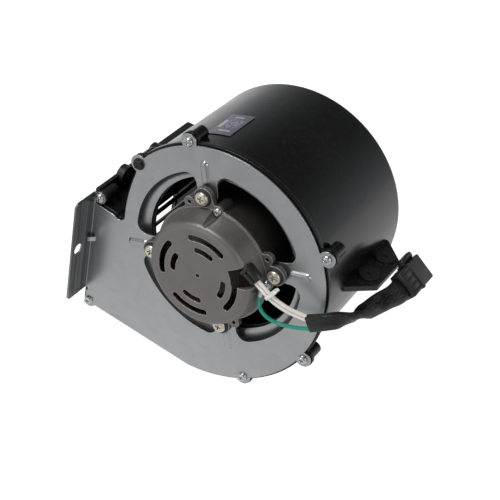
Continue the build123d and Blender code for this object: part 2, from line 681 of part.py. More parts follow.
with BuildPart() as white_wire_b:
    add(wire("white_wire_b", WHITE_B, WIRE_D))
white_wire_b.part.label = "white_wire_b"
export_step(white_wire_b.part, "parts/white_wire_b.step")

with BuildPart() as earth_wire:
    add(wire("earth_wire", EARTH, WIRE_D))
earth_wire.part.label = "earth_wire"
export_step(earth_wire.part, "parts/earth_wire.step")

with BuildPart() as harness_sleeve:
    with BuildSketch(MOUTH_PLANE):
        SlotOverall(MOUTH_WIDE, MOUTH_THICK)
    with BuildSketch(MOUTH_PLANE.offset(MOUTH_L)):
        Circle(SLEEVE_D / 2)
    loft()
    start = MOUTH_AT + MOUTH_DIR * MOUTH_L
    add(wire("harness_sleeve", [(start.X, start.Y, start.Z)] + SLEEVE_ROUTE[2:], SLEEVE_D))
harness_sleeve.part.label = "harness_sleeve"
export_step(harness_sleeve.part, "parts/harness_sleeve.step")

with BuildPart() as ring_terminal:
    with BuildSketch(across(EAR_Y[0])):
        with Locations(EARTH_SPOT):
            Circle(3.7)
            Circle(2.0, mode=Mode.SUBTRACT)
        with Locations((46.7, 1.8)):
            Rectangle(2.6, 1.2)
    extrude(amount=0.8)
    with Locations((46.7, -10.4, 1.6)):
        Box(2.6, 6.6, 0.8)
    with BuildSketch(Plane.XY.offset(1.2)):
        with Locations((45.8, -15.1)):
            Circle(1.9)
    extrude(amount=4.6)
ring_terminal.part.label = "ring_terminal"
export_step(ring_terminal.part, "parts/ring_terminal.step")

TIE_PLANE = Plane(origin=(54.4, -19.5, 8.7), x_dir=(0.517, 0, 0.856), z_dir=(0.853, 0.081, -0.516))
with BuildPart() as zip_tie:
    with BuildSketch(TIE_PLANE.offset(-1.25)):
        SlotCenterToCenter(3.4, 5.0)
        SlotCenterToCenter(3.4, 3.1, mode=Mode.SUBTRACT)
        with Locations((6.2, 0)):
            Rectangle(4.4, 4.2)
        with Locations((9.6, 0)):
            Rectangle(3.4, 1.2)
    extrude(amount=2.5)
zip_tie.part.label = "zip_tie"
export_step(zip_tie.part, "parts/zip_tie.step")

PLUG_PLANE = Plane(origin=CONNECTOR, x_dir=(0.817, 0, -0.577), z_dir=(0, 1, 0))
with BuildPart() as connector_housing:
    with BuildSketch(PLUG_PLANE.offset(-CONNECTOR_SIZE[1] / 2)):
        RectangleRounded(CONNECTOR_SIZE[0], CONNECTOR_SIZE[2], 1.2)
    extrude(amount=CONNECTOR_SIZE[1])
    # step round the wire end and a latch on the side
    with BuildSketch(PLUG_PLANE.offset(-2)):
        Rectangle(CONNECTOR_SIZE[0] + 1.6, CONNECTOR_SIZE[2] + 1.2)
    extrude(amount=3)
    with BuildSketch(PLUG_PLANE.offset(-3)):
        with Locations((-12.9, 0)):
            Rectangle(5.6, 5.6)
    extrude(amount=17)
    with BuildSketch(PLUG_PLANE.offset(CONNECTOR_SIZE[1] / 2)):
        with Locations((-6, 0), (0, 0), (6, 0)):
            Rectangle(4.4, 6.2)
    extrude(amount=-18, mode=Mode.SUBTRACT)
connector_housing.part.label = "connector_housing"
export_step(connector_housing.part, "parts/connector_housing.step")

with BuildPart() as connector_terminals:
    with BuildSketch(PLUG_PLANE.offset(-CONNECTOR_SIZE[1] / 2 + 14)):
        with Locations((-6, 0), (0, 0), (6, 0)):
            Rectangle(2.2, 2.2)
    extrude(amount=14)
connector_terminals.part.label = "connector_terminals"
export_step(connector_terminals.part, "parts/connector_terminals.step")
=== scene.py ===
"""Looks of a combustion fan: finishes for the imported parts, and the soft and detailed pieces made here.

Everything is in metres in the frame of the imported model: origin on the fan axis at the outer
face of the cover plate, -Y towards the motor, +Y towards the closed end of the drum, +Z up.
"""

import logging
import math
from dataclasses import dataclass, replace
from enum import Enum

import bpy
from mathutils import Matrix, Vector


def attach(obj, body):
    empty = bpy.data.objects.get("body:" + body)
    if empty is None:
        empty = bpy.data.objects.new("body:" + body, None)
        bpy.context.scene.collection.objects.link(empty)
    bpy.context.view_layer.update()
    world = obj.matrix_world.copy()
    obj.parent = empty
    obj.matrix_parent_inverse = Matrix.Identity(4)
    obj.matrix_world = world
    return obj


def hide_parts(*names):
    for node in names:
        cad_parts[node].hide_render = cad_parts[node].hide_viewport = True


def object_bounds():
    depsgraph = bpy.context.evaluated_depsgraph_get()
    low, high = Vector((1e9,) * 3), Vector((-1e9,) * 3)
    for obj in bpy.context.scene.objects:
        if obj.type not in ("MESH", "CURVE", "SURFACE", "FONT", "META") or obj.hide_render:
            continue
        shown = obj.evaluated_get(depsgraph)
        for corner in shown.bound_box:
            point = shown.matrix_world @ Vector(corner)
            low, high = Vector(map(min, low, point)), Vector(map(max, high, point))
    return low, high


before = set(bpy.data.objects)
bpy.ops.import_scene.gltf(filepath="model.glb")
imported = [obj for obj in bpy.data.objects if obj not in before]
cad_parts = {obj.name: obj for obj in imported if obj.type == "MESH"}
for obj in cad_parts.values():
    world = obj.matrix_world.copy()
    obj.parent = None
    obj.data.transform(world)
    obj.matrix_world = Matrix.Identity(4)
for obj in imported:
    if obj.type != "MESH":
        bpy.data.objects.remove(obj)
CAD_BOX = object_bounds()

LOG = logging.getLogger("combustion_fan")
MM = 0.001
SMOOTH_BELOW = 40.0

Colour = tuple[float, float, float]
Point = tuple[float, float, float]
Window = tuple[tuple[float, float], tuple[float, float]]
Keys = tuple[tuple[float, float], ...]
Socket = bpy.types.NodeSocket
FLOAT = "NodeSocketFloat"
VECTOR = "NodeSocketVector"


# --------------------------------------------------------------------------- shader building


class Wiring:
    """A node tree under construction, with short ways to add and join its nodes."""

    def __init__(self, tree: bpy.types.NodeTree) -> None:
        """Take up a tree."""
        self.tree = tree

    def add(self, kind: str, **values: object) -> bpy.types.Node:
        """Add a node and set its properties or inputs.

        Args:
            kind: The node's type, without the ShaderNode prefix.
            **values: Property names, or input names with spaces as underscores.

        Returns:
            The new node.
        """
        made = self.tree.nodes.new("ShaderNode" + kind)
        for key, value in values.items():
            if hasattr(made, key):
                setattr(made, key, value)
            else:
                made.inputs[key.replace("_", " ")].default_value = value
        return made

    def join(self, source: Socket, target: Socket) -> None:
        """Link one socket to another."""
        self.tree.links.new(source, target)

    def feed(self, node: bpy.types.Node, *sources: Socket | float | Point) -> bpy.types.Node:
        """Fill a node's inputs in order.

        Args:
            node: The node to fill.
            *sources: A socket to link or a plain value to set, for each input.

        Returns:
            The same node.
        """
        for source, target in zip(sources, node.inputs):
            if isinstance(source, Socket):
                self.join(source, target)
            else:
                target.default_value = source
        return node

    def reckon(self, operation: str, *terms: Socket | float, clamp: bool = False) -> Socket:
        """Combine sockets and numbers.

        Args:
            operation: The Math node's operation.
            *terms: Its inputs in order.
            clamp: Whether the result is held between 0 and 1.

        Returns:
            The result's socket.
        """
        return self.feed(self.add("Math", operation=operation, use_clamp=clamp), *terms).outputs[0]

    def spread(
        self, value: Socket, low: float, high: float, first: Socket | float = 0.0, last: Socket | float = 1.0
    ) -> Socket:
        """Map one range onto another, held at its ends.

        Args:
            value: The value to map.
            low: Where the first range starts.
            high: Where the first range ends.
            first: Where the second range starts.
            last: Where the second range ends.

        Returns:
            The mapped value's socket.
        """
        return self.feed(self.add("MapRange"), value, low, high, first, last).outputs["Result"]

    def texture(
        self, kind: str, place: Socket, stretch: Point | None = None, **values: object
    ) -> bpy.types.Node:
        """Add a texture at the given coordinates.

        Args:
            kind: The texture's type, without its prefix.
            place: The coordinates.
            stretch: Scales of the coordinates along their axes.
            **values: The texture's properties and inputs.

        Returns:
            The texture node.
        """
        if stretch is not None:
            mapping = self.add("Mapping", Scale=stretch)
            self.join(place, mapping.inputs["Vector"])
            place = mapping.outputs["Vector"]
        made = self.add("Tex" + kind, **values)
        self.join(place, made.inputs["Vector"])
        return made


class Recipe(Wiring):
    """A material under construction."""

    def __init__(self, name: str) -> None:
        """Start an empty material with its Principled shader.

        Args:
            name: The material's name.
        """
        self.material = bpy.data.materials.new(name)
        self.material.use_nodes = True
        super().__init__(self.material.node_tree)
        self.shader = self.tree.nodes["Principled BSDF"]

    def dress(self, **values: object) -> None:
        """Set the shader's own inputs, with spaces as underscores."""
        for key, value in values.items():
            self.shader.inputs[key.replace("_", " ")].default_value = value

    def at(self, space: str) -> Socket:
        """The coordinates of one space, such as Object or UV."""
        return self.add("TexCoord").outputs[space]

    def blend(self, mask: Socket, first: Socket | Colour, second: Socket | Colour) -> Socket:
        """Mix two colours by a mask.

        Args:
            mask: 0 gives the first colour and 1 the second.
            first: A colour socket or a plain colour.
            second: A colour socket or a plain colour.

        Returns:
            The mixed colour's socket.
        """
        mixer = self.add("Mix", data_type="RGBA")
        self.join(mask, mixer.inputs[0])
        for value, socket in ((first, mixer.inputs[6]), (second, mixer.inputs[7])):
            if isinstance(value, Socket):
                self.join(value, socket)
            else:
                socket.default_value = (*value, 1.0)
        return mixer.outputs[2]


class Effect(Wiring):
    """A shared effect under construction: a node group with named inputs and outputs."""

    def __init__(self, name: str, inputs: dict[str, float], outputs: dict[str, str]) -> None:
        """Start the group with its sockets.

        Args:
            name: The group's name.
            inputs: Input names with their default values.
            outputs: Output names with their socket types.
        """
        super().__init__(bpy.data.node_groups.new(name, "ShaderNodeTree"))
        sockets = self.tree.interface
        for label, value in inputs.items():
            sockets.new_socket(label, in_out="INPUT", socket_type=FLOAT).default_value = value
        for label, kind in outputs.items():
            sockets.new_socket(label, in_out="OUTPUT", socket_type=kind)
        self.given = self.tree.nodes.new("NodeGroupInput").outputs
        self.result = self.tree.nodes.new("NodeGroupOutput").inputs


class EffectLibrary:
    """The effects that several finishes share, each one node group."""

    def __init__(self) -> None:
        """Build every shared group once."""
        self.edge = self._edge_wear()
        self.grain = self._grain()
        self.dust = self._dust()

    @staticmethod
    def _edge_wear() -> bpy.types.NodeTree:
        """Rounded edges and a mask that is 1 along them.

        Returns:
            The group, with Mask and Normal.
        """
        work = Effect("edge_wear", {"Radius": 0.4 * MM, "Amount": 4.0}, {"Mask": FLOAT, "Normal": VECTOR})
        rounded = work.feed(work.add("Bevel", samples=6), work.given["Radius"]).outputs["Normal"]
        flat = work.add("NewGeometry").outputs["Normal"]
        facing = work.feed(work.add("VectorMath", operation="DOT_PRODUCT"), rounded, flat)
        bent = work.reckon("SUBTRACT", 1.0, facing.outputs["Value"])
        mask = work.reckon("MULTIPLY", bent, work.given["Amount"], clamp=True)
        work.join(mask, work.result["Mask"])
        work.join(rounded, work.result["Normal"])
        return work.tree

    @staticmethod
    def _grain() -> bpy.types.NodeTree:
        """Fine surface grain and broad uneven shade.

        Returns:
            The group, with Height, Shade and Roughness.
        """
        work = Effect(
            "surface_grain",
            {"Fine Scale": 900.0, "Broad Scale": 18.0, "Rough Low": 0.4, "Rough High": 0.6},
            {"Height": FLOAT, "Shade": FLOAT, "Roughness": FLOAT},
        )
        place = work.add("TexCoord").outputs["Object"]
        fine = work.texture("Noise", place, Detail=3.0)
        broad = work.texture("Noise", place, Detail=5.0, Roughness=0.6)
        work.join(work.given["Fine Scale"], fine.inputs["Scale"])
        work.join(work.given["Broad Scale"], broad.inputs["Scale"])
        low, high = work.given["Rough Low"], work.given["Rough High"]
        work.join(fine.outputs["Fac"], work.result["Height"])
        work.join(broad.outputs["Fac"], work.result["Shade"])
        work.join(work.spread(broad.outputs["Fac"], 0.3, 0.7, low, high), work.result["Roughness"])
        return work.tree

    @staticmethod
    def _dust() -> bpy.types.NodeTree:
        """Thin dust in small specks, most on faces that look up.

        Returns:
            The group, with Mask.
        """
        work = Effect("dust", {"Amount": 0.2, "Scale": 400.0}, {"Mask": FLOAT})
        speck = work.texture("Noise", work.add("TexCoord").outputs["Object"], Detail=6.0, Roughness=0.75)
        work.join(work.given["Scale"], speck.inputs["Scale"])
        specks = work.spread(speck.outputs["Fac"], 0.52, 0.78)
        facing = work.feed(work.add("SeparateXYZ"), work.add("NewGeometry").outputs["Normal"])
        upward = work.spread(facing.outputs["Z"], -0.6, 1.0, 0.25)
        lying = work.reckon("MULTIPLY", specks, upward)
        mask = work.reckon("MULTIPLY", lying, work.given["Amount"], clamp=True)
        work.join(mask, work.result["Mask"])
        return work.tree


# ---------------------------------------------------------------------------------- finishes


@dataclass(frozen=True)
class PlainFinish:
    """A finish of grain, uneven shade, rounded worn edges and dust.

    Colours are linear. Sizes are in metres and scales in cycles per metre.
    """

    name: str
    base: Colour
    shade: Colour
    edge: Colour
    metallic: float = 0.0
    rough: tuple[float, float] = (0.4, 0.55)
    specular: float = 0.5
    fine_scale: float = 900.0
    broad_scale: float = 18.0
    depth: float = 0.02 * MM
    edge_radius: float = 0.4 * MM
    edge_amount: float = 3.0
    dust: float = 0.1
    dust_colour: Colour = (0.45, 0.43, 0.4)
    subsurface: float = 0.0

    def make(self, effects: EffectLibrary) -> bpy.types.Material:
        """Build the material.

        Args:
            effects: The shared effects.

        Returns:
            The finished material.
        """
        recipe = Recipe(self.name)
        recipe.dress(
            Metallic=self.metallic, Specular_IOR_Level=self.specular,
            Subsurface_Weight=self.subsurface, Subsurface_Scale=1.0 * MM,
        )
        grain = recipe.add(
            "Group", node_tree=effects.grain, Fine_Scale=self.fine_scale, Broad_Scale=self.broad_scale,
            Rough_Low=self.rough[0], Rough_High=self.rough[1],
        )
        wear = recipe.add(
            "Group", node_tree=effects.edge, Radius=self.edge_radius, Amount=self.edge_amount
        )
        dust = recipe.add("Group", node_tree=effects.dust, Amount=self.dust)
        colour = recipe.blend(grain.outputs["Shade"], self.base, self.shade)
        colour = self.pattern(recipe, colour)
        colour = recipe.blend(wear.outputs["Mask"], colour, self.edge)
        colour = recipe.blend(dust.outputs["Mask"], colour, self.dust_colour)
        bump = recipe.add("Bump", Strength=1.0, Distance=self.depth)
        recipe.join(self.height(recipe, grain.outputs["Height"]), bump.inputs["Height"])
        recipe.join(wear.outputs["Normal"], bump.inputs["Normal"])
        recipe.join(colour, recipe.shader.inputs["Base Color"])
        recipe.join(grain.outputs["Roughness"], recipe.shader.inputs["Roughness"])
        recipe.join(bump.outputs["Normal"], recipe.shader.inputs["Normal"])
        return recipe.material

    def pattern(self, recipe: Recipe, colour: Socket) -> Socket:
        """Lay a pattern over the base colour; a plain finish has none."""
        return colour

    def height(self, recipe: Recipe, grain: Socket) -> Socket:
        """Shape the relief; a plain finish uses the grain alone."""
        return grain


@dataclass(frozen=True)
class GalvanisedFinish(PlainFinish):
    """Zinc-coated sheet with faint spangle and rolling streaks, and painted shade on its folded flange."""

    spangle_scale: float = 105.0
    spangle: float = 0.08
    spangle_bend: Point = (0.012, 0.012, 0.012)
    crystal: Colour = (0.78, 0.82, 0.85)
    rolled: Colour = (0.2, 0.21, 0.22)
    # painted shade: the dark colour that the folded flange is blended towards
    flange_shade: Colour = (0.07, 0.068, 0.068)
    fold_from: float = -107.0 * MM
    fold_to: float = -108.7 * MM

    def pattern(self, recipe: Recipe, colour: Socket) -> Socket:
        """Lay the crystals and streaks over the base colour, and paint shade on the folded flange.

        Args:
            recipe: The open recipe.
            colour: The base colour.

        Returns:
            The patterned colour.
        """
        place = recipe.at("Object")
        bend = recipe.texture("Noise", place, Scale=60.0, Detail=2.0).outputs["Color"]
        moved = recipe.feed(
            recipe.add("VectorMath", operation="MULTIPLY_ADD"), bend, self.spangle_bend, place
        )
        crystal = recipe.texture("Voronoi", moved.outputs[0], Scale=self.spangle_scale)
        grey = recipe.feed(recipe.add("SeparateColor"), crystal.outputs["Color"]).outputs[0]
        colour = recipe.blend(recipe.spread(grey, 0.0, 1.0, 0.0, self.spangle), colour, self.crystal)
        streak = recipe.texture("Noise", place, (9.0, 9.0, 190.0), Scale=4.0, Detail=4.0)
        streaks = recipe.spread(streak.outputs["Fac"], 0.45, 0.8, 0.0, 0.12)
        colour = recipe.blend(streaks, colour, self.rolled)
        return self._paint_flange_shade(recipe, place, colour)

    def _paint_flange_shade(self, recipe: Recipe, place: Socket, colour: Socket) -> Socket:
        """Paint shade on the folded flange, in streaks along its height.

        Args:
            recipe: The open recipe.
            place: The coordinates.
            colour: The sheet's colour.

        Returns:
            The joined colour.
        """
        apart = recipe.feed(recipe.add("SeparateXYZ"), place)
        folded = recipe.spread(apart.outputs["X"], self.fold_from, self.fold_to)
        streak = recipe.texture("Noise", place, (9.0, 420.0, 9.0), Scale=1.2, Detail=3.0)
        streaks = recipe.spread(streak.outputs["Fac"], 0.3, 0.65, 0.5, 0.92)
        # painted shade: the flange is blended part way to the dark shade colour, more in some streaks than
        # others
        return recipe.blend(recipe.reckon("MULTIPLY", folded, streaks), colour, self.flange_shade)


@dataclass(frozen=True)
class RingedFinish(PlainFinish):
    """A turned, cast or wound face with rings about the fan axis."""

    ring_scale: float = 160.0
    ring_share: float = 0.35
    ring_waver: float = 1.5
    ring_detail: float = 2.0

    def height(self, recipe: Recipe, grain: Socket) -> Socket:
        """Add the rings to the grain.

        Args:
            recipe: The open recipe.
            grain: The fine grain.

        Returns:
            The joined height.
        """
        rings = recipe.texture(
            "Wave", recipe.at("Object"), wave_type="RINGS", rings_direction="Y",
            Scale=self.ring_scale, Distortion=self.ring_waver, Detail=self.ring_detail,
        )
        return recipe.reckon("ADD", recipe.reckon("MULTIPLY", rings.outputs["Fac"], self.ring_share), grain)


@dataclass(frozen=True)
class SleevingFinish(PlainFinish):
    """Soft tubing with lengthwise sheen lines and creases, read along its own UV map."""

    crease_scale: float = 7.0
    crease_stretch: Point = (9.0, 2.2, 1.0)
    grain_share: float = 0.15

    def height(self, recipe: Recipe, grain: Socket) -> Socket:
        """Add the long creases.

        Args:
            recipe: The open recipe.
            grain: The fine grain.

        Returns:
            The joined height.
        """
        crease = recipe.texture(
            "Noise", recipe.at("UV"), self.crease_stretch,
            Scale=self.crease_scale, Detail=3.0, Distortion=0.8,
        )
        return recipe.reckon("MULTIPLY_ADD", grain, self.grain_share, crease.outputs["Fac"])


@dataclass(frozen=True)
class PrintedFinish(PlainFinish):
    """Label film with generic printed blocks and bars, laid out on its own UV map."""

    ink: Colour = (0.03, 0.03, 0.05)
    field: Colour = (0.42, 0.4, 0.5)
    field_at: Window = ((0.3, 0.84), (0.25, 0.7))
    bar: Colour = (0.5, 0.5, 0.58)
    bars_at: tuple[Window, ...] = (
        ((0.08, 0.22), (0.3, 0.66)), ((0.3, 0.8), (0.78, 0.84)), ((0.3, 0.7), (0.12, 0.17)),
    )

    def pattern(self, recipe: Recipe, colour: Socket) -> Socket:
        """Print the blocks and bars.

        Args:
            recipe: The open recipe.
            colour: The film's colour.

        Returns:
            The printed colour.
        """
        place = recipe.at("UV")
        white, black = (1, 1, 1, 1), (0, 0, 0, 1)
        bricks = recipe.texture(
            "Brick", place, Scale=9.0, Mortar_Size=0.035, Brick_Width=0.62, Row_Height=0.5, Bias=-0.2,
            offset=0.37, Color1=white, Color2=black, Mortar=black,
        )
        axes = recipe.feed(recipe.add("SeparateXYZ"), place)
        field = self._window(recipe, axes, self.field_at)
        colour = recipe.blend(field, colour, self.field)
        colour = recipe.blend(recipe.reckon("MULTIPLY", bricks.outputs["Color"], field), colour, self.ink)
        for window in self.bars_at:
            colour = recipe.blend(self._window(recipe, axes, window), colour, self.bar)
        return colour

    @staticmethod
    def _window(recipe: Recipe, axes: bpy.types.Node, window: Window) -> Socket:
        """A mask that is 1 inside a rectangle of the label.

        Args:
            recipe: The open recipe.
            axes: The node that splits the label's UV.
            window: The rectangle's limits across and along the label.

        Returns:
            The mask's socket.
        """
        mask = None
        for axis, limits in zip(("X", "Y"), window):
            for kind, limit in zip(("GREATER_THAN", "LESS_THAN"), limits):
                test = recipe.reckon(kind, axes.outputs[axis], limit)
                mask = test if mask is None else recipe.reckon("MULTIPLY", mask, test)
        return mask


class Finish(Enum):
    """Every finish on the fan, by what it is made of."""

    GALVANISED = GalvanisedFinish(
        "galvanised_sheet", (0.37, 0.38, 0.385), (0.45, 0.46, 0.467), (0.78, 0.79, 0.8), metallic=0.95,
        rough=(0.26, 0.36), fine_scale=1500.0, depth=0.008 * MM, edge_radius=0.5 * MM, edge_amount=3.0,
        dust=0.08,
    )
    DIE_CAST = RingedFinish(
        "die_cast_alloy", (0.17, 0.155, 0.152), (0.25, 0.23, 0.225), (0.6, 0.56, 0.54), metallic=0.75,
        rough=(0.4, 0.56), fine_scale=1300.0, broad_scale=60.0, depth=0.1 * MM, edge_radius=0.7 * MM,
        edge_amount=4.5, dust=0.18,
    )
    GLOSS_BLACK = PlainFinish(
        "gloss_black_moulding", (0.0045, 0.0045, 0.005), (0.007, 0.007, 0.0075), (0.03, 0.03, 0.03),
        rough=(0.2, 0.3), specular=0.4, fine_scale=700.0, depth=0.01 * MM, edge_radius=0.8 * MM,
        edge_amount=1.5,
        dust=0.05,
    )
    MATTE_BLACK = PlainFinish(
        "matte_black_moulding", (0.007, 0.007, 0.0075), (0.012, 0.012, 0.012), (0.06, 0.06, 0.062),
        rough=(0.42, 0.56), fine_scale=1600.0, depth=0.03 * MM, edge_radius=0.6 * MM, edge_amount=2.0,
        dust=0.12,
    )
    CREAM_ZINC = PlainFinish(
        "passivated_zinc", (0.62, 0.57, 0.47), (0.74, 0.7, 0.6), (0.9, 0.87, 0.8), metallic=0.85,
        rough=(0.3, 0.42), fine_scale=2500.0, broad_scale=200.0, depth=0.01 * MM, edge_radius=0.3 * MM,
        dust=0.1,
    )
    BRIGHT_ZINC = PlainFinish(
        "bright_zinc", (0.48, 0.49, 0.5), (0.62, 0.63, 0.64), (0.85, 0.85, 0.86), metallic=0.95,
        rough=(0.25, 0.38), fine_scale=2500.0, broad_scale=200.0, depth=0.01 * MM, edge_radius=0.3 * MM,
        dust=0.1,
    )
    BLACK_STEEL = PlainFinish(
        "blackened_steel", (0.012, 0.012, 0.013), (0.025, 0.025, 0.026), (0.14, 0.14, 0.14), metallic=0.5,
        rough=(0.35, 0.5), fine_scale=2000.0, edge_radius=0.3 * MM,
    )
    RUBBER = PlainFinish(
        "moulded_rubber", (0.01, 0.01, 0.01), (0.018, 0.018, 0.018), (0.05, 0.05, 0.05), rough=(0.55, 0.75),
        fine_scale=1800.0, broad_scale=120.0, depth=0.03 * MM, dust=0.25,
    )
    BOOT_RUBBER = PlainFinish(
        "boot_rubber", (0.008, 0.008, 0.008), (0.014, 0.014, 0.014), (0.1, 0.1, 0.1), rough=(0.3, 0.45),
        fine_scale=1800.0, broad_scale=120.0, depth=0.02 * MM, edge_amount=1.5, dust=0.06,
    )
    # painted shade: a darker copy of the die-cast alloy, for the rear bracket that sits in shade inside the
    # drum
    SHADED_CAST = RingedFinish(
        "shaded_cast_alloy", (0.05, 0.047, 0.045), (0.09, 0.085, 0.08), (0.4, 0.38, 0.36), metallic=0.7,
        rough=(0.42, 0.58), fine_scale=1300.0, broad_scale=45.0, depth=0.05 * MM, edge_radius=0.6 * MM,
        edge_amount=3.0, dust=0.08,
    )
    LAMINATION = RingedFinish(
        "lamination_steel", (0.16, 0.15, 0.145), (0.24, 0.23, 0.22), (0.45, 0.44, 0.42), metallic=0.8,
        rough=(0.4, 0.55), ring_scale=300.0,
    )
    WOUND = RingedFinish(
        "varnished_winding", (0.03, 0.005, 0.004), (0.06, 0.014, 0.01), (0.16, 0.05, 0.03), metallic=0.3,
        rough=(0.3, 0.45), depth=0.25 * MM, edge_radius=0.5 * MM, dust=0.0,
        ring_scale=260.0, ring_share=1.0, ring_waver=4.0, ring_detail=1.0,
    )
    BRIGHT_STEEL = PlainFinish(
        "ground_steel", (0.5, 0.5, 0.51), (0.6, 0.6, 0.61), (0.85, 0.85, 0.85), metallic=1.0,
        rough=(0.15, 0.28),
        fine_scale=3000.0, broad_scale=90.0, depth=0.004 * MM, edge_radius=0.3 * MM, dust=0.05,
    )
    BRONZE = PlainFinish(
        "sintered_bronze", (0.35, 0.2, 0.08), (0.45, 0.27, 0.12), (0.7, 0.5, 0.28), metallic=0.9,
        rough=(0.4, 0.55), fine_scale=2600.0, depth=0.03 * MM,
    )
    FELT = PlainFinish(
        "oil_felt", (0.35, 0.3, 0.22), (0.5, 0.45, 0.35), (0.5, 0.45, 0.35), rough=(0.85, 0.95),
        specular=0.2,
        fine_scale=2400.0, depth=0.12 * MM, edge_amount=0.5,
    )
    WHEEL = GalvanisedFinish(
        "wheel_sheet", (0.03, 0.03, 0.03), (0.06, 0.058, 0.055), (0.2, 0.19, 0.18), metallic=0.7,
        rough=(0.35, 0.5), fine_scale=1500.0, depth=0.01 * MM, edge_radius=0.2 * MM, dust=0.2,
    )
    FOAM = PlainFinish(
        "gasket_foam", (0.012, 0.012, 0.012), (0.03, 0.03, 0.03), (0.05, 0.05, 0.05), rough=(0.8, 0.95),
        specular=0.2, fine_scale=2200.0, depth=0.15 * MM,
    )
    WHITE_PVC = PlainFinish(
        "white_wire_cover", (0.86, 0.79, 0.73), (0.93, 0.89, 0.84), (0.95, 0.92, 0.9), rough=(0.32, 0.45),
        fine_scale=1500.0, broad_scale=90.0, depth=0.01 * MM, dust=0.12, subsurface=0.15,
    )
    GREEN_PVC = PlainFinish(
        "green_wire_cover", (0.0, 0.26, 0.17), (0.005, 0.36, 0.25), (0.1, 0.5, 0.38), rough=(0.3, 0.42),
        fine_scale=1500.0, broad_scale=90.0, depth=0.01 * MM, dust=0.06, subsurface=0.05,
    )
    NYLON = PlainFinish(
        "natural_nylon", (0.84, 0.84, 0.81), (0.92, 0.92, 0.9), (0.95, 0.95, 0.94), rough=(0.35, 0.5),
        fine_scale=1400.0, broad_scale=150.0, depth=0.02 * MM, dust=0.05, subsurface=0.35,
    )
    SLEEVING = SleevingFinish(
        "soft_black_sleeving", (0.003, 0.003, 0.0035), (0.005, 0.005, 0.0055), (0.01, 0.01, 0.01),
        rough=(0.14, 0.26), specular=0.45, depth=0.7 * MM, edge_amount=0.5, dust=0.05,
    )
    DARK_NYLON = PlainFinish(
        "dark_connector_moulding", (0.008, 0.0078, 0.0078), (0.013, 0.0125, 0.0125), (0.05, 0.05, 0.05),
        rough=(0.4, 0.52), fine_scale=1500.0, broad_scale=80.0, depth=0.03 * MM, edge_radius=0.3 * MM,
        dust=0.1,
    )
    LABEL = PrintedFinish(
        "label_film", (0.13, 0.12, 0.16), (0.18, 0.165, 0.21), (0.3, 0.3, 0.33), metallic=0.3,
        rough=(0.25, 0.35),
        depth=0.005 * MM, edge_radius=0.1 * MM, edge_amount=1.0, dust=0.1,
    )


class PaintShop:
    """Makes each finish once and puts it on pieces."""

    def __init__(self) -> None:
        """Build the shared effects and start with no material made."""
        self.effects = EffectLibrary()
        self.made: dict[Finish, bpy.types.Material] = {}

    def coat(self, piece: bpy.types.Object, finish: Finish) -> None:
        """Give a piece one finish all over.

        Args:
            piece: The mesh or curve to dress.
            finish: The finish to use.
        """
        if finish not in self.made:
            self.made[finish] = finish.value.make(self.effects)
        material = self.made[finish]
        if not piece.data.materials:
            piece.data.materials.append(material)
        for place in range(len(piece.data.materials)):
            piece.data.materials[place] = material


# -------------------------------------------------------------------------------- bench tools


class Bench:
    """Modelling steps that every sub-assembly uses."""

    @staticmethod
    def clear() -> None:
        """Deselect everything."""
        bpy.ops.object.select_all(action="DESELECT")

    @staticmethod
    def hold(piece: bpy.types.Object) -> None:
        """Select one piece alone and make it active.

        Args:
            piece: The piece to hold.
        """
        Bench.clear()
        piece.select_set(True)
        bpy.context.view_layer.objects.active = piece

    @staticmethod
    def settle(piece: bpy.types.Object) -> bpy.types.Object:
        """Put the piece's place into its mesh.

        Args:
            piece: The piece to settle.

        Returns:
            The same piece, its object at the origin.
        """
        Bench.hold(piece)
        bpy.ops.object.transform_apply(location=True, rotation=True, scale=True)
        return piece

    @staticmethod
    def apply(piece: bpy.types.Object, modifier: bpy.types.Modifier) -> None:
        """Apply one modifier of a piece."""
        Bench.hold(piece)
        bpy.ops.object.modifier_apply(modifier=modifier.name)

    @staticmethod
    def face_outwards(piece: bpy.types.Object) -> None:
        """Turn all the faces of a piece outwards.

        Args:
            piece: The piece to turn.
        """
        Bench.hold(piece)
        bpy.ops.object.mode_set(mode="EDIT")
        bpy.ops.mesh.select_all(action="SELECT")
        bpy.ops.mesh.normals_make_consistent(inside=False)
        bpy.ops.object.mode_set(mode="OBJECT")

    @staticmethod
    def round_edges(piece: bpy.types.Object, radius: float, segments: int = 2, angle: float = 30.0) -> None:
        """Bevel a piece's sharp edges and shade it smooth.

        Args:
            piece: The piece to bevel.
            radius: The bevel's width.
            segments: Steps round the bevel.
            angle: Edges sharper than this many degrees are bevelled.
        """
        bevel = piece.modifiers.new("rounding", "BEVEL")
        bevel.width = radius
        bevel.segments = segments
        bevel.limit_method = "ANGLE"
        bevel.angle_limit = math.radians(angle)
        bevel.harden_normals = True
        Bench.apply(piece, bevel)
        bpy.ops.object.shade_smooth_by_angle(angle=math.radians(SMOOTH_BELOW))

    @staticmethod
    def fuse(name: str, pieces: list[bpy.types.Object]) -> bpy.types.Object:
        """Join several pieces into one.

        Args:
            name: The joined piece's name.
            pieces: The pieces, the first of which takes in the others.

        Returns:
            The joined piece.
        """
        Bench.clear()
        for piece in pieces:
            piece.select_set(True)
        bpy.context.view_layer.objects.active = pieces[0]
        bpy.ops.object.join()
        pieces[0].name = name
        return pieces[0]


@dataclass(frozen=True)
class Slab:
    """A block with rounded edges, its centre, size and edge radius in millimetres."""

    name: str
    centre: Point
    size: Point
    edge: float

    def at(self, x: float = 0.0, y: float = 0.0) -> "Slab":
        """The same slab, moved across by x and y."""
        return replace(self, centre=(self.centre[0] + x, self.centre[1] + y, self.centre[2]))

    def model(self) -> bpy.types.Object:
        """Model the block.

        Returns:
            The block, in metres.
        """
        Bench.clear()
        bpy.ops.mesh.primitive_cube_add(size=1.0, location=[value * MM for value in self.centre])
        piece = bpy.context.object
        piece.name = self.name
        piece.scale = [value * MM for value in self.size]
        Bench.settle(piece)
        Bench.round_edges(piece, self.edge * MM)
        return piece


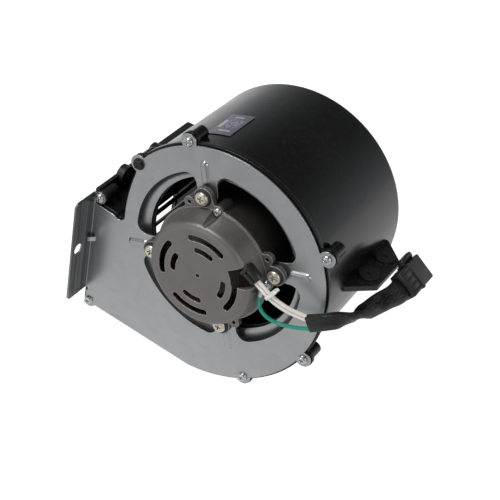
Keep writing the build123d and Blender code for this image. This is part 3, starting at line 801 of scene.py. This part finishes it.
def stand_in(piece: bpy.types.Object, node: str) -> None:
    """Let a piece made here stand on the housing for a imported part.

    Args:
        piece: The piece.
        node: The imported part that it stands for.
    """
    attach(piece, "housing")
    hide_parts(node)
    LOG.info("%s stands for %s", piece.name, node)


def basis(origin: Point, x_axis: Point, z_axis: Point) -> Matrix:
    """A local frame from its origin and two directions.

    Args:
        origin: The frame's origin.
        x_axis: The direction of local X.
        z_axis: The direction of local Z.

    Returns:
        The frame as a matrix.
    """
    z_way = Vector(z_axis).normalized()
    y_way = z_way.cross(Vector(x_axis)).normalized()
    x_way = y_way.cross(z_way)
    turn = Matrix((x_way, y_way, z_way)).transposed().to_4x4()
    return Matrix.Translation(origin) @ turn


# ------------------------------------------------------------------------------------ studio


@dataclass
class Studio:
    """The camera, the pale floor and the soft lights."""

    camera_at: Point = (0.3231, -0.6615, 0.5786)
    right: Point = (0.8439, 0.5131, 0.1569)
    up: Point = (-0.4258, 0.4626, 0.7778)
    back: Point = (0.3265, -0.7231, 0.6088)
    lens: float = 93.6
    sensor: float = 36.0
    floor_half: float = 6.0
    floor_gap: float = 2.0 * MM
    lights: tuple[tuple[str, Point, float, float], ...] = (
        ("key_softbox", (-0.5, -0.55, 1.15), 0.6, 11.0),
        ("low_softbox", (-0.4, -1.0, -0.02), 0.35, 1.6),
        ("side_softbox", (1.1, -0.35, 0.7), 0.35, 2.6),
    )

    def build(self) -> None:
        """Set up the camera, floor, lights and surroundings."""
        self._camera()
        self._floor()
        self._surroundings()
        for light in self.lights:
            self._light(*light)
        bpy.context.scene.view_settings.view_transform = "Standard"

    def _camera(self) -> None:
        """Place the camera by its own three axes."""
        data = bpy.data.cameras.new("camera")
        data.lens = self.lens
        data.sensor_width = self.sensor
        data.clip_start = 0.01
        data.clip_end = 60.0
        camera = bpy.data.objects.new("camera", data)
        bpy.context.scene.collection.objects.link(camera)
        turn = Matrix((Vector(self.right), Vector(self.up), Vector(self.back))).transposed()
        camera.matrix_world = Matrix.Translation(self.camera_at) @ turn.to_4x4()
        bpy.context.scene.camera = camera

    def _floor(self) -> None:
        """Lay a pale floor under the lowest point of the object."""
        Bench.clear()
        low = CAD_BOX[0].z - self.floor_gap
        bpy.ops.mesh.primitive_plane_add(size=2 * self.floor_half, location=(0, 0, low))
        floor = bpy.context.object
        floor.name = "floor"
        recipe = Recipe("pale_floor")
        recipe.dress(
            Base_Color=(0.35, 0.35, 0.35, 1), Roughness=0.9, Specular_IOR_Level=0.0, Emission_Strength=1.0,
        )
        axes = recipe.feed(recipe.add("SeparateXYZ"), recipe.at("Object"))
        sweep = recipe.spread(axes.outputs["Y"], -0.5, 0.4, 0.1, 0.95)
        level = recipe.reckon("MAXIMUM", recipe.add("LightPath").outputs["Is Camera Ray"], sweep)
        tone = recipe.feed(recipe.add("CombineColor"), level, level, level)
        recipe.join(tone.outputs[0], recipe.shader.inputs["Emission Color"])
        floor.data.materials.append(recipe.material)

    @staticmethod
    def _surroundings() -> None:
        """Give the world a pale horizon behind and a dim sky above."""
        world = bpy.data.worlds.new("surroundings")
        world.use_nodes = True
        work = Wiring(world.node_tree)
        sky = work.tree.nodes["Background"]
        axes = work.feed(work.add("SeparateXYZ"), work.add("TexCoord").outputs["Generated"])
        work.join(work.spread(axes.outputs["Z"], 0.0, 0.55, 0.75, 0.07), sky.inputs["Strength"])
        sky.inputs["Color"].default_value = (0.95, 0.98, 1.0, 1)
        bpy.context.scene.world = world

    @staticmethod
    def _light(name: str, place: Point, size: float, power: float) -> None:
        """Add one soft square light that faces the fan.

        Args:
            name: The light's name.
            place: Where it stands.
            size: Its side.
            power: Its power in watts.
        """
        data = bpy.data.lights.new(name, "AREA")
        data.size = size
        data.energy = power
        lamp = bpy.data.objects.new(name, data)
        lamp.location = place
        lamp.rotation_mode = "QUATERNION"
        lamp.rotation_quaternion = (-Vector(place)).to_track_quat("-Z", "Y")
        bpy.context.scene.collection.objects.link(lamp)


# ------------------------------------------------------------------------------------ wiring


@dataclass
class Plug:
    """The plug housing, with its hollow mouth, collar, cheeks, grips and latch."""

    shop: PaintShop
    origin: Point = (0.1199, 0.082, -0.0006)
    across: Point = (0.817, 0.0, -0.577)
    along: Point = (0.0, 1.0, 0.0)
    body: Slab = Slab("plug", (0, 0, 0), (20.8, 10.0, 32.0), 0.9)
    cavity: Slab = Slab("cavity", (0, 0, 7.5), (4.6, 6.4, 19.0), 0.4)
    cavity_step: float = 6.0
    collar: Slab = Slab("collar", (0, 0, -0.6), (22.2, 11.1, 2.6), 0.4)
    cheek: Slab = Slab("cheek", (0, 0, -8.0), (1.6, 10.9, 12.0), 0.3)
    cheek_out: float = 8.6
    grip: Slab = Slab("grip", (0, 0, -9.0), (3.2, 0.8, 9.0), 0.25)
    grip_step: float = 5.0
    grip_out: float = 5.1
    latch: tuple[Slab, ...] = (
        Slab("latch_lever", (-13.2, 0, 5.8), (4.4, 5.2, 16.4), 1.2),
        Slab("latch_root", (-11.0, 0, -1.6), (3.0, 5.4, 2.6), 0.4),
        Slab("latch_rail", (-11.4, 0, 9.0), (2.6, 2.2, 9.0), 0.4),
    )

    def build(self) -> bpy.types.Object:
        """Model and dress the plug.

        Returns:
            The plug.
        """
        parts = [self._hollow(self.body.model()), self.collar.model()]
        parts += [self.cheek.at(side * self.cheek_out).model() for side in (-1, 1)]
        for side in (-1, 1):
            for step in (-1, 0, 1):
                parts.append(self.grip.at(step * self.grip_step, side * self.grip_out).model())
        parts += [slab.model() for slab in self.latch]
        plug = Bench.fuse("plug", parts)
        plug.data.transform(basis(self.origin, self.across, self.along))
        self.shop.coat(plug, Finish.DARK_NYLON)
        stand_in(plug, "connector_housing")
        return plug

    def _hollow(self, body: bpy.types.Object) -> bpy.types.Object:
        """Cut the three cavities into the plug's far face.

        Args:
            body: The plug's block, in its local frame.

        Returns:
            The hollow block.
        """
        cavities = [self.cavity.at(step * self.cavity_step).model() for step in (-1, 0, 1)]
        cutter = Bench.fuse("cavities", cavities)
        cut = body.modifiers.new("cavities", "BOOLEAN")
        cut.operation = "DIFFERENCE"
        cut.object = cutter
        Bench.apply(body, cut)
        bpy.data.objects.remove(cutter)
        return body


@dataclass
class CableTie:
    """The cable tie: a strap round both white wires, its head and its toothed tail."""

    shop: PaintShop
    origin: Point = (0.0544, -0.0195, 0.0087)
    across: Point = (0.517, 0.0, 0.856)
    along: Point = (0.853, 0.081, -0.516)
    strap_radius: float = 2.0 * MM
    strap_wide: float = 2.5 * MM
    strap_thick: float = 0.9 * MM
    strap_spread: float = 1.7 * MM
    strap_edge: float = 0.2 * MM
    blocks: tuple[Slab, ...] = (
        Slab("head", (6.2, 0, 0), (4.4, 4.2, 2.9), 0.5),
        Slab("lip", (4.5, 0, 0), (1.0, 4.4, 3.0), 0.3),
        Slab("tail", (9.6, 0.1, 0), (3.2, 1.0, 2.4), 0.2),
    )
    tooth: Slab = Slab("tooth", (9.2, 0.62, 0), (0.35, 0.2, 2.0), 0.06)
    tooth_step: float = 0.7

    def build(self) -> bpy.types.Object:
        """Model and dress the tie.

        Returns:
            The tie.
        """
        parts = [self._strap()]
        parts += [slab.model() for slab in self.blocks]
        parts += [self.tooth.at(step * self.tooth_step).model() for step in range(3)]
        tie = Bench.fuse("cable_tie", parts)
        tie.data.transform(basis(self.origin, self.across, self.along))
        self.shop.coat(tie, Finish.NYLON)
        stand_in(tie, "zip_tie")
        return tie

    def _strap(self) -> bpy.types.Object:
        """The strap: a round band drawn out to a loop with straight sides.

        Returns:
            The strap, in the tie's local frame.
        """
        Bench.clear()
        bpy.ops.mesh.primitive_cylinder_add(
            vertices=48, radius=self.strap_radius, depth=self.strap_wide, end_fill_type="NOTHING"
        )
        strap = bpy.context.object
        for vertex in strap.data.vertices:
            if abs(vertex.co.x) > 0.01 * MM:
                vertex.co.x += math.copysign(self.strap_spread, vertex.co.x)
        wall = strap.modifiers.new("strap", "SOLIDIFY")
        wall.thickness = self.strap_thick
        wall.offset = 0.0
        Bench.apply(strap, wall)
        Bench.round_edges(strap, self.strap_edge, angle=50.0)
        return strap


@dataclass
class LeadBoot:
    """The rubber boot: a saddle in the cap's notch and a round cover for each white wire."""

    shop: PaintShop
    origin: Point = (0.0434, -0.02, 0.0155)
    across: Point = (0.0, -1.0, 0.0)
    along: Point = (0.866, 0.0, -0.5)
    saddle: Slab = Slab("saddle", (-1.7, 0, -6.8), (5.4, 10.0, 13.0), 0.8)
    bridge: Slab = Slab("bridge", (1.8, 0, -11.6), (3.6, 8.6, 3.0), 0.8)
    fin: Slab = Slab("fin", (2.7, 0, -6.9), (0.9, 0.7, 11.0), 0.25)
    cover_out: float = 2.35
    cover_centre: Point = (0.6, 0.0, -6.6)
    cover_radius: float = 2.4 * MM
    cover_long: float = 13.2 * MM
    cover_wall: float = 0.8 * MM
    cover_edge: float = 0.4 * MM

    def build(self) -> None:
        """Model and dress the boot."""
        parts = [self.saddle.model()]
        for side in (-self.cover_out, self.cover_out):
            parts += [self._cover(side), self.fin.at(0.0, side).model()]
        parts.append(self.bridge.model())
        boot = Bench.fuse("lead_boot", parts)
        boot.data.transform(basis(self.origin, self.across, self.along))
        self.shop.coat(boot, Finish.BOOT_RUBBER)
        stand_in(boot, "wire_boot")

    def _cover(self, side: float) -> bpy.types.Object:
        """One round cover, sunk at the end that the wire leaves.

        Args:
            side: Its place across the boot, in millimetres.

        Returns:
            The cover, in the boot's local frame.
        """
        Bench.clear()
        x, y, z = self.cover_centre
        bpy.ops.mesh.primitive_cylinder_add(
            vertices=40, radius=self.cover_radius, depth=self.cover_long,
            location=(x * MM, (y + side) * MM, z * MM),
        )
        cover = Bench.settle(bpy.context.object)
        top = max(vertex.co.z for vertex in cover.data.vertices)
        for face in cover.data.polygons:
            face.select = face.center.z > top - 0.01 * MM
        bpy.ops.object.mode_set(mode="EDIT")
        bpy.ops.mesh.select_mode(type="FACE")
        bpy.ops.mesh.inset(thickness=self.cover_wall)
        bpy.ops.transform.translate(value=(0, 0, -self.cover_wall))
        bpy.ops.object.mode_set(mode="OBJECT")
        Bench.round_edges(cover, self.cover_edge, 3, 40.0)
        return cover


@dataclass
class Lead:
    """One wire: its route, the imported part that it stands for, and its finish."""

    name: str
    node: str
    route: tuple[Point, ...]
    finish: Finish
    slot: str
    length: float


@dataclass
class Harness:
    """The three wires, their sleeve, boot, tie and plug."""

    shop: PaintShop
    wire: float = 2.8 * MM
    mouth_wide: float = 14.0 * MM
    ring_points: int = 40
    sleeve_wall: float = 0.5 * MM
    sleeve_folds: float = 0.16
    sleeve_creases: float = 0.09
    sleeve_corner: float = 0.75
    sleeve_length: float = 0.096
    sleeve_route: tuple[Point, ...] = (
        (0.0842, -0.012, -0.0041), (0.0935, -0.0105, 0.0014), (0.1025, -0.005, 0.0049),
        (0.1094, 0.0055, 0.0049), (0.1126, 0.02, 0.0026), (0.1144, 0.0335, 0.0014),
        (0.1174, 0.045, 0.001), (0.1199, 0.056, -0.0006), (0.1199, 0.066, -0.0006),
    )
    sleeve_turn: Keys = ((0, 120.6), (0.2, 116), (0.36, 62), (0.52, -18), (0.66, -33), (1, -35.2))
    sleeve_wide: Keys = ((0, 14.0), (0.2, 13.4), (0.36, 10.6), (0.5, 13.4), (0.75, 15.2), (1, 18.0))
    sleeve_thick: Keys = ((0, 4.6), (0.2, 4.8), (0.36, 6.4), (0.5, 5.2), (0.75, 4.8), (1, 5.6))

    def leads(self) -> list[Lead]:
        """The three wires.

        Returns:
            Their routes and finishes.
        """
        return [
            Lead(
                "white_lead_a", "white_wire_a",
                (
                    (0.04425, -0.02, 0.01697), (0.04988, -0.02, 0.01372), (0.0572, -0.0192, 0.009),
                    (0.0652, -0.0178, 0.0056), (0.0731, -0.0159, 0.0033), (0.08293, -0.01179, 0.00096),
                ),
                Finish.WHITE_PVC, "white_pvc", 0.0434,
            ),
            Lead(
                "white_lead_b", "white_wire_b",
                (
                    (0.04255, -0.02, 0.01403), (0.04818, -0.02, 0.01078), (0.0554, -0.0194, 0.0061),
                    (0.0642, -0.018, 0.0024), (0.0735, -0.0155, -0.0001), (0.08466, -0.01179, -0.00197),
                ),
                Finish.WHITE_PVC, "white_pvc", 0.0466,
            ),
            Lead(
                "earth_lead", "earth_wire",
                (
                    (0.0458, -0.0151, 0.0012), (0.0458, -0.0151, -0.0042), (0.048, -0.015, -0.0104),
                    (0.0534, -0.0146, -0.0144), (0.061, -0.014, -0.0157), (0.0695, -0.0132, -0.0146),
                    (0.0782, -0.0124, -0.0119), (0.08782, -0.01179, -0.0073),
                ),
                Finish.GREEN_PVC, "green_pvc", 0.0545,
            ),
        ]

    def build(self) -> None:
        """Build and dress the whole harness."""
        plug = Plug(self.shop).build()
        tie = CableTie(self.shop).build()
        LeadBoot(self.shop).build()
        for lead in self.leads():
            line = self._curve(lead.name, lead.route, self.wire / 2)
            self.shop.coat(line, lead.finish)
            stand_in(line, lead.node)
        self._sleeve()

    @staticmethod
    def _curve(name: str, route: tuple[Point, ...], radius: float) -> bpy.types.Object:
        """A smooth round line along a route.

        Args:
            name: The curve's name.
            route: Its control points.
            radius: Its round section's radius; 0 leaves a bare line.

        Returns:
            The curve object.
        """
        data = bpy.data.curves.new(name, "CURVE")
        data.dimensions = "3D"
        data.resolution_u = 16
        data.bevel_depth = radius
        data.bevel_resolution = 6
        data.use_fill_caps = radius > 0
        spline = data.splines.new("NURBS")
        spline.points.add(len(route) - 1)
        for point, place in zip(spline.points, route):
            point.co = (*place, 1.0)
        spline.order_u = 3
        spline.use_endpoint_u = True
        line = bpy.data.objects.new(name, data)
        bpy.context.scene.collection.objects.link(line)
        return line

    def _sleeve(self) -> None:
        """The flat sleeve, which turns on edge half way and spreads again at the plug.
        """
        guide = self._curve("sleeve_guide", self.sleeve_route, 0.0)
        bpy.context.view_layer.update()
        evaluated = guide.evaluated_get(bpy.context.evaluated_depsgraph_get())
        line = bpy.data.meshes.new_from_object(evaluated)
        path = [vertex.co.copy() for vertex in line.vertices]
        bpy.data.objects.remove(guide)
        vertices, faces = self._ribbon(path)
        data = bpy.data.meshes.new("sleeve")
        data.from_pydata(vertices, [], faces)
        self._unwrap(data, len(path))
        sleeve = bpy.data.objects.new("sleeve", data)
        bpy.context.scene.collection.objects.link(sleeve)
        Bench.face_outwards(sleeve)
        wall = sleeve.modifiers.new("wall", "SOLIDIFY")
        wall.thickness = self.sleeve_wall
        wall.offset = -1.0
        Bench.apply(sleeve, wall)
        bpy.ops.object.shade_smooth_by_angle(angle=math.radians(60))
        self.shop.coat(sleeve, Finish.SLEEVING)
        stand_in(sleeve, "harness_sleeve")
        LOG.info("sleeve of %d rings", len(path))

    def _ribbon(self, path: list[Vector]) -> tuple[list[Vector], list[tuple[int, ...]]]:
        """Rings of a flat tube that turns along its path.

        Args:
            path: Points along the centreline.

        Returns:
            The vertices and the faces.
        """
        reach = [0.0]
        for one, two in zip(path, path[1:]):
            reach.append(reach[-1] + (two - one).length)
        vertices = []
        for index, centre in enumerate(path):
            before, after = path[max(index - 1, 0)], path[min(index + 1, len(path) - 1)]
            vertices += self._ring(centre, (after - before).normalized(), reach[index] / reach[-1])
        faces = []
        around = self.ring_points
        for low in range(0, len(vertices) - around, around):
            high = low + around
            for step in range(around):
                beside = (step + 1) % around
                faces.append((low + step, low + beside, high + beside, high + step))
        return vertices, faces

    def _ring(self, centre: Vector, tangent: Vector, share: float) -> list[Vector]:
        """One ring of the sleeve.

        Args:
            centre: The ring's centre.
            tangent: The way that the sleeve runs there.
            share: The ring's place along the sleeve, from 0 to 1.

        Returns:
            The ring's points.
        """
        turn = math.radians(self._keyed(share, self.sleeve_turn))
        wide = Vector((math.cos(turn), 0, math.sin(turn)))
        wide = (wide - tangent * wide.dot(tangent)).normalized()
        thin = tangent.cross(wide)
        half_wide = 0.5 * MM * self._keyed(share, self.sleeve_wide)
        half_thick = 0.5 * MM * self._keyed(share, self.sleeve_thick)
        points = []
        for step in range(self.ring_points):
            angle = 2 * math.pi * step / self.ring_points
            across = self._blunt(math.cos(angle))
            through = self._blunt(math.sin(angle))
            crumple = 1 + self.sleeve_folds * math.sin(2 * angle + 9 * share) * math.sin(13 * share + 1.3)
            crumple += self.sleeve_creases * math.sin(5 * angle - 8 * share) * math.sin(math.pi * share)
            points.append(centre + wide * (half_wide * across) + thin * (half_thick * through * crumple))
        return points

    def _blunt(self, value: float) -> float:
        """Push a sine or cosine outwards, so that the round section fills its corners."""
        return math.copysign(abs(value) ** self.sleeve_corner, value)

    @staticmethod
    def _keyed(share: float, keys: Keys) -> float:
        """A value that eases from key to key.

        Args:
            share: The place along the path, from 0 to 1.
            keys: Places and their values, in order.

        Returns:
            The value at the place.
        """
        for (low, first), (high, second) in zip(keys, keys[1:]):
            if share <= high:
                step = (share - low) / (high - low)
                step = step * step * (3 - 2 * step)
                return first + (second - first) * step
        return keys[-1][1]

    def _unwrap(self, data: bpy.types.Mesh, rings: int) -> None:
        """Lay the tube's UV map: U round it and V along it.

        Args:
            data: The tube's mesh.
            rings: The number of rings.
        """
        around = self.ring_points
        layer = data.uv_layers.new(name="along")
        for face in data.polygons:
            corners = [data.loops[loop].vertex_index for loop in face.loop_indices]
            steps = [corner % around for corner in corners]
            wraps = max(steps) - min(steps) > 1
            for loop, corner, step in zip(face.loop_indices, corners, steps):
                turn = around if wraps and step == 0 else step
                layer.data[loop].uv = (turn / around, corner // around / (rings - 1))


# ------------------------------------------------------------------------------------- label


@dataclass
class RatingLabel:
    """The thin film on the drum, with generic printing."""

    shop: PaintShop
    start_deg: float = 102.0
    end_deg: float = 114.7
    front: float = 23.0 * MM
    back: float = 58.0 * MM
    front_radius: float = 88.32 * MM
    back_radius: float = 87.82 * MM
    thick: float = 0.15 * MM

    def build(self) -> None:
        """Bend a grid round the drum, give it thickness, and print it."""
        Bench.clear()
        bpy.ops.mesh.primitive_grid_add(x_subdivisions=24, y_subdivisions=12, size=1.0)
        label = bpy.context.object
        label.name = "label_film"
        for vertex in label.data.vertices:
            share, along = vertex.co.x + 0.5, vertex.co.y + 0.5
            angle = math.radians(self.end_deg + (self.start_deg - self.end_deg) * share)
            depth = self.back + (self.front - self.back) * along
            radius = self.back_radius + (self.front_radius - self.back_radius) * along
            vertex.co = (radius * math.cos(angle), depth, radius * math.sin(angle))
        film = label.modifiers.new("film", "SOLIDIFY")
        film.thickness = self.thick
        Bench.apply(label, film)
        Bench.face_outwards(label)
        bpy.ops.object.shade_smooth_by_angle(angle=math.radians(30))
        self.shop.coat(label, Finish.LABEL)
        stand_in(label, "rating_label")


# -------------------------------------------------------------------------------- carried parts


@dataclass
class CarriedParts:
    """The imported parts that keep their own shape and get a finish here."""

    shop: PaintShop

    def finishes(self) -> dict[Finish, tuple[str, ...]]:
        """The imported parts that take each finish.

        Returns:
            Finishes and their node names.
        """
        return {
            Finish.GALVANISED: ("cover_plate",),
            Finish.BRIGHT_ZINC: (
                "cover_screws", "cap_screws", "earth_screw", "mount_sleeves", "mount_nuts",
                "ring_terminal", "connector_terminals",
            ),
            Finish.BLACK_STEEL: ("hex_bolt",),
            Finish.FOAM: ("plate_gasket",),
            Finish.GLOSS_BLACK: ("housing_shell",),
            Finish.MATTE_BLACK: ("outlet_frame", "side_foot"),
            Finish.DIE_CAST: ("front_cap",),
            # painted shade: the rear bracket takes the darker copy of the cast alloy
            Finish.SHADED_CAST: ("rear_bracket",),
            Finish.RUBBER: ("motor_grommets",),
            Finish.CREAM_ZINC: ("mount_screws",),
            Finish.LAMINATION: ("stator_core", "rotor_core"),
            Finish.WOUND: ("windings",),
            Finish.BRIGHT_STEEL: ("shaft", "thrust_washers", "hub_screw"),
            Finish.BRONZE: ("front_bush", "rear_bush"),
            Finish.FELT: ("oil_felt",),
            Finish.WHEEL: ("wheel_hub", "wheel_back_disc", "wheel_blades", "wheel_front_ring"),
        }

    def build(self) -> None:
        """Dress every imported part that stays."""
        for finish, nodes in self.finishes().items():
            for node in nodes:
                self.shop.coat(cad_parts[node], finish)
                LOG.info("finish on %s", node)


def main() -> None:
    """Build the scene in order: camera and cords first, then everything else."""
    logging.basicConfig(level=logging.INFO, format="%(name)s: %(message)s")
    shop = PaintShop()
    for assembly in (Studio(), Harness(shop), RatingLabel(shop), CarriedParts(shop)):
        assembly.build()
        LOG.info("%s done", type(assembly).__name__)


if __name__ == "__main__":
    main()
